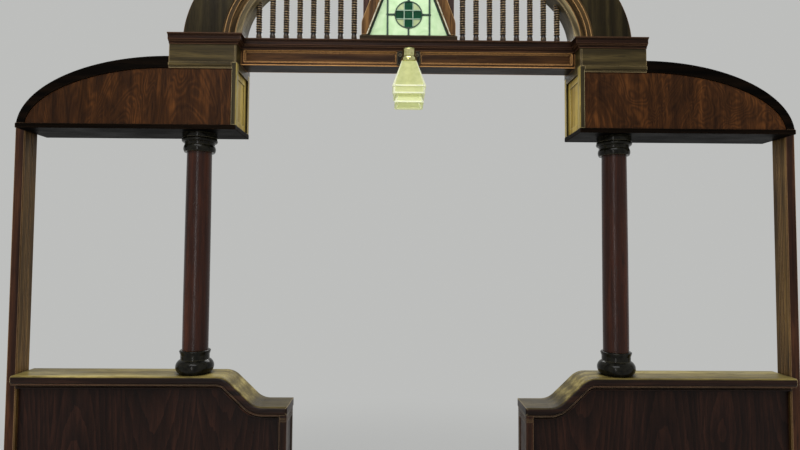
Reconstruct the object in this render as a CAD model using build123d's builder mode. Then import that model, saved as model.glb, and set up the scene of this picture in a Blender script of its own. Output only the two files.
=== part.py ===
from build123d import *
from math import atan2, degrees, sqrt
import os

# The dividing screen of a wooden railway coach's saloon. It stands across the coach: two low
# partitions with an aisle between them, a turned column on each, and curved box headers that
# carry a cross beam and an arched, spindled screen up to the clerestory ceiling.
# X runs across the coach, Y along it with the lamp at -Y, Z up from the floor. Sizes are in mm.

os.makedirs("parts", exist_ok=True)

# Main lines of the screen
half_width = 1209.0        # centre line to the faces of the posts on the side walls
aisle_half = 366.0         # centre line to the aisle end of a capping
fit = 0.3                  # gap between a curved face and what is scribed to it

# Partition
capping_top = 1181.0       # height of the capping under the column
capping_low = 1090.0       # height of the capping at the aisle
capping_depth = 122.0
capping_thick = 24.0
capping_end_overhang = 2.0
nosing_radius = 8.0
ogee_start = 585.0         # where the capping begins to fall, from the centre line
ogee_end = 440.0           # where it runs level again
ogee_radius = 62.0
bed_mould_height = 20.0
bed_mould_out = 38.0
bed_mould_fillet = 4.0     # height of the square upper member
bed_bead_height = 6.0
bed_bead_out = 14.0
board_thick = 36.0
frame_thick = 56.0
sill_height = 120.0
sill_thick = 68.0
mid_rail_low = 600.0
mid_rail_height = 80.0
muntin_width = 50.0
panel_thick = 30.0
panel_bevel = 9.0
panel_margin = 45.0
floor_bolt_radius = 5.2
floor_bolt_depth = 70.0
floor_bolt_spacing = 500.0

# End board at the aisle
end_board_thick = 22.0
end_board_side = 4.0       # how far it stays behind the capping's nosing, front and back
end_bead_radius = 4.5
end_quirk_width = 2.0
end_quirk_depth = 3.0
end_field_margin = 8.0     # flat strip between the quirk and the sunk field
end_field_sink = 3.0
end_neck_low = 13.0        # lower necking line below the end board's top
end_neck_gap = 7.0

# Wall post
wall_post_thick = 30.0     # how far it stands out of the side wall's panels
wall_post_depth = 62.0
wall_post_chamfer = 3.0
wall_groove_width = 3.0
wall_groove_depth = 3.0
wall_groove_spacing = 14.0

# Column
column_x = 670.0
shaft_low_radius = 39.5
shaft_top_radius = 38.2
shaft_swell = 0.6
base_radius = 58.0
base_foot_radius = 46.0
torus_height = 44.0
torus_belly = 19.0         # height of the torus's widest line
base_neck_radius = 44.0
base_neck_height = 14.0
base_lip_radius = 47.5
base_lip_height = 11.0
base_lip_round = 4.0
cap_ring_radius = 49.5
cap_ring_height = 22.0
cap_ring_belly = 9.0       # height of the ring's widest line
cap_neck_radius = 46.5
cap_neck_height = 9.0
cap_disc_radius = 55.0
cap_disc_height = 13.0
cap_block_radius = 53.5
cap_block_height = 16.0

# Header box
header_bottom = 1941.0
header_depth = 157.0
header_end = 534.0         # centre line to the aisle end
header_rise = 229.0
header_curve = 470.0       # length of the quarter ellipse along X
rim_foot = 25.0            # thickness of the bent rim where it stands on the soffit
rim_top = 38.0             # and where it meets the pier
rim_round = 3.0
soffit_thick = 15.0
soffit_side = 1.5          # how far the soffit stands out of the faces
soffit_round = 2.5
face_thick = 16.0
face_recess = 4.0
header_post_width = 15.0
header_post_round = 5.0
end_panel_set = 7.0        # how far the end panel lies behind the corner posts
end_panel_thick = 18.0
end_panel_margin = 20.0
end_panel_sink = 3.0

# Pier, beam and cornice
frieze_top = 2237.0
pier_overhang = 16.0       # how far a pier reaches past the clerestory arch
pier_quirk = 6.0           # flat between the header's face and the pier's bead
pier_bead_height = 13.0
pier_bead_out = 5.0
pier_bead_round = 4.5
pier_corner_bead = 6.0     # width of the bead up the frieze's aisle corner
pier_corner_round = 4.0
pier_groove_width = 2.0
pier_groove_depth = 3.0
beam_bottom = 2157.0
beam_depth = 74.0
beam_panel_low = 2170.0
beam_panel_height = 31.0
beam_panel_sink = 6.0
beam_panel_bevel = 3.0
beam_panel_inner = 40.0
beam_panel_end = 13.0      # from a panel's outer end to the pier
cornice_height = 30.0
cornice_out = 20.0

# Arch over the beam, three-centred as it is set out with compasses
arch_rise = 312.0
arch_haunch = 210.0
lining_thick = 20.0
lining_depth = 70.0
lining_arris = 2.0
arch_mould_width = 48.0
arch_mould_out = 19.0
arch_fillet = 3.0          # width of the square member beside the lining
arch_hollow_width = 20.0
arch_hollow_out = 8.0      # how far the bottom of the hollow stands out of the spandrel
arch_band_out = 13.0
arch_band_step = 3.0       # drop from the band to its rounded edge
arch_edge_out = 5.0
arch_edge_round = 9.0      # width of that rounded edge
spandrel_thick = 26.0
ceiling_half = 728.0
ceiling_rise = 440.0
ceiling_haunch = 320.0

# Spindles
spindle_end_gap = 48.0     # from the arch's springing to the middle of the first spindle
spindle_pitch = 44.15
spindle_count = 8
spindle_radius = 10.0
spindle_stick_radius = 8.6
spindle_neck_radius = 7.0
spindle_block_height = 11.0
spindle_neck_height = 3.0
spindle_swell_height = 24.0

# Glazed light in the middle
light_sill_half = 158.0
light_sill_height = 30.0
light_sill_arris = 4.0
light_depth = 40.0
stile_outer = 147.0
stile_width = 21.0
stile_set = 4.0            # how far a stile lies behind the rakes' faces
rake_foot = 168.5          # where a rake's outer line would meet the sill
rake_clip = 152.0          # where its foot is cut upright
rake_round = 60.0
rake_width = 36.0
rake_slope = 0.38          # how far a rake leans in for each millimetre of height
glass_thick = 4.0
edge_came = 5.0
came_width = 6.0
came_thick = 9.0
came_offset = 68.5
roundel_rise = 73.0        # centre of the roundel above the light's foot
roundel_radius = 45.5
roundel_rim = 3.0
roundel_pitch = 28.5       # from centre to centre of the squares in its cross
roundel_lead = 3.0

# Lamp
lamp_y = -95.0
lamp_plate_half = 38.0
lamp_plate_height = 46.0
lamp_plate_thick = 6.0
lamp_plate_rise = 2.0      # foot of the plate above the beam's lower edge
lamp_plate_corner = 8.0
lamp_plate_bevel = 2.0
lamp_boss_half = 27.0
lamp_boss_rise = 32.5      # middle of the bosses above the plate's foot
lamp_boss_radius = 5.0
lamp_boss_out = 3.0
lamp_arm_radius = 6.0
lamp_arm_rise = 12.0       # the arm above the gallery's ring
gallery_radius = 24.7      # at the widest of its swelled ring
gallery_swell = 12.0       # how far up that is
gallery_ring_height = 20.0
dome_radius = 20.0
dome_foot = 20.0           # height of the dome's upright side
dome_rise = 8.0            # height of its crown
knob_radius = 3.5
shade_top = 2147.5
shade_wall = 3.5
holder_radius = 14.0
holder_height = 37.0
bulb_radius = 26.0
bulb_neck_radius = 12.0
bulb_length = 72.0

# Sizes that follow from them
half_header = header_depth / 2
half_beam = beam_depth / 2
half_board = board_thick / 2
arch_half = header_end
spindle_outer = arch_half - spindle_end_gap
beam_panel_outer = header_end - beam_panel_end
end_board_aisle = aisle_half + capping_end_overhang
end_board_inner = end_board_aisle + end_board_thick
end_board_half = capping_depth / 2 - end_board_side
end_board_top = capping_low - capping_thick
soffit_top = header_bottom + soffit_thick
header_inner = half_header - face_recess - face_thick
header_post_outer = header_end + header_post_width
pier_bottom = header_bottom + header_rise - rim_top
pier_bead_low = pier_bottom + pier_quirk
pier_face_low = pier_bead_low + pier_bead_height
pier_outer = ceiling_half + pier_overhang
ellipse_x = half_width - header_curve
light_foot = frieze_top + light_sill_height
roundel_height = light_foot + roundel_rise
gallery_top = shade_top + gallery_ring_height


def save(name, part):
    part.label = name
    export_step(part, f"parts/{name}.step")


def save_pair(name, right):
    """The right-hand piece and its mirror image across the coach's centre line."""
    save(f"{name}_right", right)
    save(f"{name}_left", right.mirror(Plane.YZ))


def elevation(y):
    """The plane of the screen's elevation at this Y, facing the front."""
    return Plane.XZ.offset(-y)


def ogee_line(drop, aisle_end):
    """The capping's line from the wall post to an end at the aisle, this far below its top."""
    run = ogee_start - ogee_end
    fall = capping_top - capping_low
    # Two equal arcs joined by a straight length that is tangent to both
    chord = sqrt(run**2 + (fall - 2 * ogee_radius) ** 2)
    turn = degrees(atan2(fall - 2 * ogee_radius, run))
    straight = sqrt(chord**2 - (2 * ogee_radius) ** 2)
    turn += degrees(atan2(2 * ogee_radius, straight))
    upper_centre = (ogee_start, capping_top - ogee_radius)
    lower_centre = (ogee_end, capping_low + ogee_radius)
    upper = CenterArc(upper_centre, ogee_radius - drop, 90, turn)
    lower = CenterArc(lower_centre, ogee_radius + drop, 270 + turn, -turn)
    Line((half_width, capping_top - drop), upper @ 0)
    Line(upper @ 1, lower @ 0)
    Line(lower @ 1, (aisle_end, capping_low - drop))


def under_ogee(level, aisle_end):
    """Everything under a line of the capping, cut off square at the aisle end."""
    with BuildSketch() as region:
        with BuildLine():
            ogee_line(level, aisle_end)
            Polyline(
                (aisle_end, capping_low - level),
                (aisle_end, 0),
                (half_width, 0),
                (half_width, capping_top - level),
            )
        make_face()
    return region.sketch


def arch_line(half, rise, haunch, grow):
    """A three-centred arch from its left springing to its right, made larger by grow."""
    crown = (half**2 + rise**2 - 2 * half * haunch) / (2 * (rise - haunch))
    lean = degrees(atan2(half - haunch, crown - rise))
    left = CenterArc((haunch - half, frieze_top), haunch + grow, 180, lean - 90)
    CenterArc((0, frieze_top + rise - crown), crown + grow, 90 + lean, -2 * lean)
    right = CenterArc((half - haunch, frieze_top), haunch + grow, 90 - lean, lean - 90)
    return left @ 0, right @ 1


def under_arch(half, rise, haunch, grow):
    """The figure between such an arch and the beam's top."""
    with BuildSketch() as region:
        with BuildLine():
            left, right = arch_line(half, rise, haunch, grow)
            Line(left, right)
        make_face()
    return region.sketch


def screen_arch(grow):
    """The figure under the screen's own arch, from its soffit outwards."""
    return under_arch(arch_half, arch_rise, arch_haunch, grow)


def moulding(section, legs):
    """One section carried along straight and curved legs of the elevation.

    The section's first axis points along Y and its second to the left of the way it goes."""
    with BuildPart() as piece:
        for leg in legs:
            start = leg @ 0
            ahead = leg % 0
            with BuildSketch(Plane(origin=start, x_dir=(0, 1, 0), z_dir=ahead)):
                add(section)
            if leg.geom_type == GeomType.LINE:
                extrude(amount=leg.length)
            else:
                arm = start - leg.arc_center
                turn = Axis(leg.arc_center, arm.cross(ahead))
                revolve(axis=turn, revolution_arc=degrees(leg.length / leg.radius))
    return piece.part


# Floor sill of a partition, with a weathered top edge and the blind holes for the floor bolts
sill_middle = (end_board_inner + half_width) / 2
sill_length = half_width - end_board_inner
with BuildPart() as floor_sill:
    with BuildSketch(Plane.XY):
        with Locations((sill_middle, 0)):
            Rectangle(sill_length, sill_thick)
    extrude(amount=sill_height)
    top_edges = floor_sill.faces().sort_by(Axis.Z)[-1].edges().filter_by(Axis.X)
    chamfer(top_edges, length=(sill_thick - frame_thick) / 2)
    with Locations(floor_sill.faces().sort_by(Axis.Z)[0]):
        with GridLocations(floor_bolt_spacing, 1, 2, 1):
            Hole(radius=floor_bolt_radius, depth=floor_bolt_depth)
save_pair("floor_sill", floor_sill.part)

# Mid rail and the muntin between the two lower panels
with BuildPart() as mid_rail:
    with BuildSketch(Plane.XY.offset(mid_rail_low)):
        with Locations((sill_middle, 0)):
            Rectangle(sill_length, frame_thick)
    extrude(amount=mid_rail_height)
save_pair("mid_rail", mid_rail.part)

with BuildPart() as muntin:
    with BuildSketch(Plane.XY.offset(sill_height)):
        with Locations((sill_middle, 0)):
            Rectangle(muntin_width, frame_thick)
    extrude(amount=mid_rail_low - sill_height)
save_pair("muntin", muntin.part)

# Lower panels, raised and fielded on both faces
panel_width = (sill_length - muntin_width) / 2
panel_height = mid_rail_low - sill_height
panel_edge = panel_thick - 2 * panel_bevel
with BuildPart() as lower_panels:
    for bay in (-1, 1):
        centre = (sill_middle + bay * (muntin_width + panel_width) / 2, sill_height + panel_height / 2)
        with BuildSketch(elevation(0)):
            with Locations(centre):
                Rectangle(panel_width, panel_height)
        extrude(amount=panel_edge / 2, both=True)
        for face in (-1, 1):
            rear = elevation(face * panel_edge / 2)
            front = elevation(face * panel_thick / 2)
            with BuildSketch(rear):
                with Locations(centre):
                    Rectangle(panel_width - panel_margin, panel_height - panel_margin)
            with BuildSketch(front):
                with Locations(centre):
                    Rectangle(panel_width - 2 * panel_margin, panel_height - 2 * panel_margin)
            loft()
save_pair("lower_panels", lower_panels.part)

# Shaped board above the mid rail, which follows the capping
with BuildPart() as frieze_board:
    with BuildSketch(elevation(0)):
        add(under_ogee(capping_thick, end_board_inner))
        Rectangle(2 * half_width, 2 * (mid_rail_low + mid_rail_height), mode=Mode.SUBTRACT)
    extrude(amount=half_board, both=True)
save_pair("frieze_board", frieze_board.part)

# End board at the aisle, as deep as the capping, with a bead up each edge, a sunk field
# between two quirks and two necking lines below the capping
quirk_y = end_board_half - 2 * end_bead_radius
with BuildPart() as end_board:
    with BuildSketch(Plane.XY):
        with Locations((end_board_aisle, 0)):
            Rectangle(end_board_thick, 2 * end_board_half, align=(Align.MIN, Align.CENTER))
    extrude(amount=end_board_top)
    aisle_face = end_board.faces().sort_by(Axis.X)[0]
    fillet(aisle_face.edges().filter_by(Axis.Z), radius=end_bead_radius)
    with BuildSketch(Plane.XY):
        with Locations((end_board_aisle, -quirk_y), (end_board_aisle, quirk_y)):
            Rectangle(2 * end_quirk_depth, end_quirk_width)
    extrude(amount=end_board_top, mode=Mode.SUBTRACT)
    field_half = quirk_y - end_quirk_width / 2 - end_field_margin
    field_top = end_board_top - end_neck_low - end_neck_gap - end_field_margin
    with BuildSketch(Plane.YZ.offset(end_board_aisle)):
        with Locations((0, sill_height)):
            Rectangle(2 * field_half, field_top - sill_height, align=(Align.CENTER, Align.MIN))
    extrude(amount=end_field_sink, mode=Mode.SUBTRACT)
    for below in (end_neck_low, end_neck_low + end_neck_gap):
        with BuildSketch(Plane.XY.offset(end_board_top - below)):
            with Locations((end_board_aisle, 0)):
                Rectangle(2 * end_board_thick, 2 * end_board_half, align=(Align.CENTER, Align.CENTER))
            with Locations((end_board_aisle + end_quirk_width, 0)):
                Rectangle(
                    2 * end_board_thick,
                    2 * (end_board_half - end_quirk_width),
                    align=(Align.MIN, Align.CENTER),
                    mode=Mode.SUBTRACT,
                )
        extrude(amount=end_quirk_width, mode=Mode.SUBTRACT)
save_pair("end_post", end_board.part)

# Capping: a shelf with rounded nosings that falls in an ogee to the aisle
with BuildPart() as capping:
    with BuildSketch(elevation(0)):
        add(under_ogee(0, aisle_half))
        add(under_ogee(capping_thick, aisle_half), mode=Mode.SUBTRACT)
    extrude(amount=capping_depth / 2, both=True)
    for face in (capping.faces().sort_by(Axis.Y)[0], capping.faces().sort_by(Axis.Y)[-1]):
        long_edges = face.edges().filter_by(lambda e: e.center().X < half_width - 1)
        fillet(long_edges, radius=nosing_radius)
save_pair("capping", capping.part)

# Bed mouldings under the nosing, front and back: a square member, a hollow and a bead
bed_face = half_board + bed_mould_out
bed_bead_face = half_board + bed_bead_out
bed_bead_top = bed_mould_height - bed_bead_height
with BuildSketch() as bed_section:
    with BuildLine():
        Polyline((half_board, 0), (bed_face, 0), (bed_face, bed_mould_fillet))
        EllipticalCenterArc(
            (bed_face, bed_bead_top),
            bed_face - bed_bead_face,
            bed_bead_top - bed_mould_fillet,
            start_angle=180,
            arc_size=90,
        )
        ThreePointArc(
            (bed_bead_face, bed_bead_top),
            (bed_bead_face + bed_bead_height / 2, bed_bead_top + bed_bead_height / 2),
            (bed_bead_face, bed_mould_height),
        )
        Polyline(
            (bed_bead_face, bed_mould_height), (half_board, bed_mould_height), (half_board, 0)
        )
    make_face()
with BuildLine(elevation(0)) as bed_line:
    ogee_line(capping_thick, end_board_inner)
with BuildPart() as bed_mould:
    add(moulding(bed_section.sketch, bed_line.edges()))
    mirror(about=Plane.XZ)
save_pair("bed_mould", bed_mould.part)

# Post on the side wall, from the floor to the top of the header's soffit, with two grooves
# down its face. The partition's boards and the soffit butt against it.
with BuildPart() as wall_post:
    with BuildSketch(Plane.XY):
        with Locations((half_width, 0)):
            Rectangle(wall_post_thick, wall_post_depth, align=(Align.MIN, Align.CENTER))
            with GridLocations(1, wall_groove_spacing, 1, 2):
                Rectangle(2 * wall_groove_depth, wall_groove_width, mode=Mode.SUBTRACT)
    extrude(amount=soffit_top)
    corners = wall_post.edges().filter_by(
        lambda e: e.center().X < half_width + 1 and abs(e.center().Y) > wall_post_depth / 2 - 1
    )
    chamfer(corners.filter_by(Axis.Z), length=wall_post_chamfer)
save_pair("wall_post", wall_post.part)


def turned(outline):
    """A turning about the column's axis, from the lines that its outline draws."""
    with BuildPart() as turning:
        with BuildSketch(Plane.XZ):
            with BuildLine():
                outline(column_x)
            make_face()
        revolve(axis=Axis((column_x, 0, 0), (0, 0, 1)))
    return turning.part


# Column base: a heavy torus, a plain neck and a thin flared lip under the shaft
base_top = capping_top + torus_height + base_neck_height + base_lip_height + base_lip_round


def base_outline(x):
    torus_top = capping_top + torus_height
    lip_low = torus_top + base_neck_height
    lip_top = lip_low + base_lip_height
    foot = Line((x, capping_top), (x + base_foot_radius, capping_top))
    belly = (x + base_radius, capping_top + torus_belly)
    torus = ThreePointArc(foot @ 1, belly, (x + base_neck_radius, torus_top))
    neck = Line(torus @ 1, (x + base_neck_radius, lip_low))
    flare = Line(neck @ 1, (x + base_lip_radius, lip_top))
    lip = CenterArc((x + base_lip_radius - base_lip_round, lip_top), base_lip_round, 0, 90)
    Polyline(lip @ 1, (x, base_top), foot @ 0)


save_pair("column_base", turned(base_outline))

# Shaft with a slight swell between its two diameters
cap_body_height = cap_ring_height + cap_neck_height + cap_disc_height
shaft_top = header_bottom - cap_block_height - cap_body_height


def shaft_outline(x):
    middle = (shaft_low_radius + shaft_top_radius) / 2 + shaft_swell
    side = ThreePointArc(
        (x + shaft_low_radius, base_top),
        (x + middle, (base_top + shaft_top) / 2),
        (x + shaft_top_radius, shaft_top),
    )
    Polyline(side @ 1, (x, shaft_top), (x, base_top), side @ 0)


save_pair("column_shaft", turned(shaft_outline))


# Cap: a ring, a neck, a disc with a rounded edge and a plain block under the soffit
def cap_outline(x):
    disc_top = header_bottom - cap_block_height
    disc_low = disc_top - cap_disc_height
    disc_round = cap_disc_height / 2
    foot = Line((x, shaft_top), (x + cap_neck_radius, shaft_top))
    belly = (x + cap_ring_radius, shaft_top + cap_ring_belly)
    ring = ThreePointArc(foot @ 1, belly, (x + cap_neck_radius, shaft_top + cap_ring_height))
    Polyline(ring @ 1, (x + cap_neck_radius, disc_low), (x + cap_disc_radius - disc_round, disc_low))
    CenterArc((x + cap_disc_radius - disc_round, disc_low + disc_round), disc_round, -90, 180)
    Polyline(
        (x + cap_disc_radius - disc_round, disc_top),
        (x + cap_block_radius, disc_top),
        (x + cap_block_radius, header_bottom),
        (x, header_bottom),
        (x, shaft_top),
    )


save_pair("column_cap", turned(cap_outline))

# Soffit board of the header box, with rounded edges
with BuildPart() as header_soffit:
    with BuildSketch(Plane.XY.offset(header_bottom)):
        with Locations((header_end, 0)):
            Rectangle(
                half_width - header_end,
                header_depth + 2 * soffit_side,
                align=(Align.MIN, Align.CENTER),
            )
    extrude(amount=soffit_thick)
    free_edges = header_soffit.edges().filter_by(lambda e: e.center().X < half_width - 1)
    fillet(free_edges, radius=soffit_round)
save_pair("header_soffit", header_soffit.part)


def header_region(side_inset, top_inset, left):
    """The header's elevation above its soffit, inset from the outer curve."""
    top = header_bottom + header_rise - top_inset
    with BuildSketch() as region:
        with BuildLine():
            curve = EllipticalCenterArc(
                (ellipse_x, header_bottom),
                header_curve - side_inset,
                header_rise - top_inset,
                start_angle=0,
                arc_size=90,
            )
            Polyline(curve @ 1, (left, top), (left, header_bottom), curve @ 0)
        make_face()
        Rectangle(3 * half_width, 2 * soffit_top, mode=Mode.SUBTRACT)
    return region.sketch


# Bent rim that forms the curved top of the box, thicker towards the pier
with BuildPart() as header_rim:
    with BuildSketch(elevation(0)):
        add(header_region(0, 0, header_end))
        add(header_region(rim_foot, rim_top, header_end), mode=Mode.SUBTRACT)
        Rectangle(2 * pier_outer, 3 * header_bottom, mode=Mode.SUBTRACT)
    extrude(amount=half_header, both=True)
    fillet(header_rim.edges().filter_by(GeomType.ELLIPSE), radius=rim_round)
save_pair("header_rim", header_rim.part)

# Figured face panels, front and back, set in a little from the rim
for side, facing in (("front", -1), ("back", 1)):
    with BuildPart() as header_panel:
        with BuildSketch(elevation(facing * (half_header - face_recess))):
            add(header_region(rim_foot, rim_top, header_post_outer))
        extrude(amount=facing * face_thick)
    save_pair(f"header_{side}", header_panel.part)

# Corner posts of the header's aisle end, which run up past the pier's bead
header_post_depth = half_header - header_inner
header_post_y = (half_header + header_inner) / 2
header_post_x = header_end + header_post_width / 2
with BuildPart() as header_posts:
    with BuildSketch(Plane.XY.offset(soffit_top)):
        with Locations((header_post_x, -header_post_y), (header_post_x, header_post_y)):
            Rectangle(header_post_width, header_post_depth)
    extrude(amount=pier_face_low - soffit_top)
    uprights = header_posts.edges().filter_by(Axis.Z)
    outer_corners = uprights.filter_by(
        lambda e: e.center().X < header_end + 1 and abs(e.center().Y) > half_header - 1
    )
    fillet(outer_corners, radius=header_post_round)
save_pair("header_posts", header_posts.part)

# End panel between those posts, with a sunk field
end_panel_height = pier_bottom - soffit_top
end_panel_centre = (0, soffit_top + end_panel_height / 2)
with BuildPart() as header_end_panel:
    with BuildSketch(Plane.YZ.offset(header_end + end_panel_set)):
        with Locations(end_panel_centre):
            Rectangle(2 * header_inner, end_panel_height)
    extrude(amount=end_panel_thick)
    with BuildSketch(Plane.YZ.offset(header_end + end_panel_set)):
        with Locations(end_panel_centre):
            Rectangle(
                2 * (header_inner - end_panel_margin), end_panel_height - 2 * end_panel_margin
            )
    extrude(amount=end_panel_sink, mode=Mode.SUBTRACT)
save_pair("header_end", header_end_panel.part)

# Pier block between the header and the arch. A bead runs along its foot and another up its
# corner, and two notches take the heads of the header's corner posts.
with BuildPart() as pier:
    with BuildSketch(Plane.XY.offset(pier_bottom)):
        with Locations((header_end, 0)):
            Rectangle(pier_outer - header_end, header_depth, align=(Align.MIN, Align.CENTER))
    extrude(amount=frieze_top - pier_bottom)
    fillet(pier.faces().sort_by(Axis.X)[0].edges().filter_by(Axis.Z), radius=pier_corner_round)
    with BuildSketch(Plane.XY.offset(pier_face_low)):
        with Locations((header_end + pier_corner_bead, 0)):
            with GridLocations(1, header_depth, 1, 2):
                Rectangle(pier_groove_width, 2 * pier_groove_depth)
    extrude(amount=frieze_top - cornice_height - pier_face_low, mode=Mode.SUBTRACT)
    with BuildSketch(Plane.XY.offset(pier_bead_low)):
        with Locations((header_post_outer, 0)):
            Rectangle(
                pier_outer - header_post_outer,
                header_depth + 2 * pier_bead_out,
                align=(Align.MIN, Align.CENTER),
            )
    extrude(amount=pier_bead_height)
    bead_edges = pier.edges().filter_by(Axis.X).filter_by(
        lambda e: abs(e.center().Y) > half_header + pier_bead_out - 1
    )
    fillet(bead_edges, radius=pier_bead_round)
    with BuildSketch(Plane.XY.offset(pier_bottom)):
        with Locations((header_post_x, -header_post_y), (header_post_x, header_post_y)):
            Rectangle(header_post_width, header_post_depth)
    extrude(amount=pier_face_low - pier_bottom, mode=Mode.SUBTRACT)
save_pair("pier", pier.part)

# Cross beam with two sunk, bevelled panels on each face
beam_panel_width = beam_panel_outer - beam_panel_inner
beam_panel_x = (beam_panel_outer + beam_panel_inner) / 2
with BuildPart() as beam:
    with BuildSketch(Plane.XY.offset(beam_bottom)):
        Rectangle(2 * header_end, beam_depth)
    extrude(amount=frieze_top - beam_bottom)
    for facing in (-1, 1):
        with BuildSketch(elevation(facing * half_beam)):
            for place in (-1, 1):
                with Locations((place * beam_panel_x, beam_panel_low + beam_panel_height / 2)):
                    Rectangle(beam_panel_width, beam_panel_height)
        extrude(amount=facing * beam_panel_sink, mode=Mode.SUBTRACT)
    for face in (beam.faces().sort_by(Axis.Y)[0], beam.faces().sort_by(Axis.Y)[-1]):
        rims = [edge for wire in face.inner_wires() for edge in wire.edges()]
        chamfer(rims, length=beam_panel_bevel)
save("cross_beam", beam.part)


# Cornice section. Columns: share of the projection, share of the depth below the top
cornice_steps = (
    (0, 0),
    (1, 0),
    (1, 0.12),
    (0.8, 0.16),
    (0.68, 0.3),
    (0.68, 0.62),
    (0.5, 0.66),
    (0.5, 0.76),
    (0.3, 0.8),
    (0.16, 0.95),
    (0.16, 1),
    (0, 1),
)

# Cornice along pier, return, beam, return and pier, mitred at its corners
for side, facing in (("front", -1), ("back", 1)):
    with BuildPart() as cornice:
        with BuildLine() as run:
            Polyline(
                (pier_outer, facing * half_header, frieze_top),
                (header_end, facing * half_header, frieze_top),
                (header_end, facing * half_beam, frieze_top),
                (-header_end, facing * half_beam, frieze_top),
                (-header_end, facing * half_header, frieze_top),
                (-pier_outer, facing * half_header, frieze_top),
            )
        with BuildSketch(Plane.YZ.offset(pier_outer)):
            Polygon(
                *[
                    (facing * (half_header + out * cornice_out), frieze_top - down * cornice_height)
                    for out, down in cornice_steps
                ],
                align=None,
            )
        sweep(path=run.line, transition=Transition.RIGHT)
    save(f"cornice_{side}", cornice.part)

# Spandrel board between the arch and the clerestory ceiling
half_spandrel = spandrel_thick / 2
with BuildPart() as spandrel:
    with BuildSketch(elevation(0)):
        add(under_arch(ceiling_half, ceiling_rise, ceiling_haunch, 0))
        add(screen_arch(lining_thick), mode=Mode.SUBTRACT)
    extrude(amount=half_spandrel, both=True)
save("spandrel", spandrel.part)

# Bent lining that forms the arch's soffit, its arrises taken off
with BuildPart() as arch_lining:
    with BuildSketch(elevation(0)):
        add(screen_arch(lining_thick))
        add(screen_arch(0), mode=Mode.SUBTRACT)
    extrude(amount=lining_depth / 2, both=True)
    chamfer(arch_lining.edges().filter_by(GeomType.CIRCLE), length=lining_arris)
save("arch_lining", arch_lining.part)

# Arch mouldings, front and back: a square member, a hollow, a band and a rounded edge
mould_face = half_spandrel + arch_mould_out
hollow_face = half_spandrel + arch_hollow_out
band_face = half_spandrel + arch_band_out
edge_face = half_spandrel + arch_edge_out
hollow_end = arch_fillet + arch_hollow_width
with BuildSketch() as arch_section:
    with BuildLine():
        Polyline((half_spandrel, 0), (mould_face, 0), (mould_face, arch_fillet))
        hollow = EllipticalCenterArc(
            (mould_face, hollow_end),
            mould_face - hollow_face,
            arch_hollow_width,
            start_angle=180,
            arc_size=90,
        )
        edge = EllipticalCenterArc(
            (edge_face, arch_mould_width - arch_edge_round),
            band_face - arch_band_step - edge_face,
            arch_edge_round,
            start_angle=0,
            arc_size=90,
        )
        Polyline(
            hollow @ 0,
            (band_face, hollow_end),
            (band_face, arch_mould_width - arch_edge_round),
            edge @ 0,
        )
        Polyline(edge @ 1, (half_spandrel, arch_mould_width), (half_spandrel, 0))
    make_face()
with BuildLine(elevation(0)) as arch_back:
    arch_line(arch_half, arch_rise, arch_haunch, lining_thick)
arch_mould = moulding(arch_section.sketch, arch_back.edges())
save("arch_mould_back", arch_mould)
save("arch_mould_front", arch_mould.mirror(Plane.XZ))

# Turned spindles with a foot block and a swell, scribed to the arch at their heads
spindle_head = frieze_top + arch_rise
block_top = frieze_top + spindle_block_height
swell_low = block_top + spindle_neck_height
swell_top = swell_low + spindle_swell_height
with BuildPart() as spindles:
    for i in range(spindle_count):
        x = spindle_outer - i * spindle_pitch
        with BuildSketch(Plane.XZ):
            with BuildLine():
                Polyline(
                    (x, frieze_top),
                    (x + spindle_radius, frieze_top),
                    (x + spindle_radius, block_top),
                    (x + spindle_neck_radius, block_top),
                    (x + spindle_neck_radius, swell_low),
                )
                ThreePointArc(
                    (x + spindle_neck_radius, swell_low),
                    (x + spindle_radius, swell_low + spindle_swell_height * 0.4),
                    (x + spindle_neck_radius, swell_top),
                )
                Polyline(
                    (x + spindle_neck_radius, swell_top),
                    (x + spindle_stick_radius, swell_top + spindle_neck_height),
                    (x + spindle_stick_radius, spindle_head),
                    (x, spindle_head),
                    (x, frieze_top),
                )
            make_face()
        revolve(axis=Axis((x, 0, 0), (0, 0, 1)))
    with BuildSketch(elevation(0)):
        add(screen_arch(-fit))
    extrude(amount=half_beam, both=True, mode=Mode.INTERSECT)
save_pair("spindles", spindles.part)

# Sill rail under the glazed light
with BuildPart() as light_sill:
    with BuildSketch(Plane.XY.offset(frieze_top)):
        Rectangle(2 * light_sill_half, light_depth)
    extrude(amount=light_sill_height)
    chamfer(light_sill.faces().sort_by(Axis.Z)[-1].edges(), length=light_sill_arris)
save("light_sill", light_sill.part)


def between_rakes(inset):
    """The tapering figure inside the rakes' outer lines, less an inset."""
    foot = rake_foot - inset
    head = foot - rake_slope * arch_rise
    with BuildSketch() as region:
        Polygon(
            (foot, light_foot),
            (head, light_foot + arch_rise),
            (-head, light_foot + arch_rise),
            (-foot, light_foot),
            align=None,
        )
        add(screen_arch(-fit), mode=Mode.INTERSECT)
    return region.sketch


def rakes_outline():
    """The outer figure of the rakes, whose feet are cut upright and eased into the slope."""
    with BuildSketch() as region:
        add(between_rakes(0))
        Rectangle(2 * rake_clip, 4 * frieze_top, mode=Mode.INTERSECT)
        bends = region.vertices().filter_by(
            lambda v: abs(v.X) > rake_clip - 1 and v.Y > light_foot + 1
        )
        fillet(bends, radius=rake_round)
    return region.sketch


# Raking bars that meet the arch at its crown
with BuildPart() as light_rakes:
    with BuildSketch(elevation(0)):
        add(rakes_outline())
        add(between_rakes(rake_width), mode=Mode.SUBTRACT)
    extrude(amount=light_depth / 2, both=True)
save("light_rakes", light_rakes.part)

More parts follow.
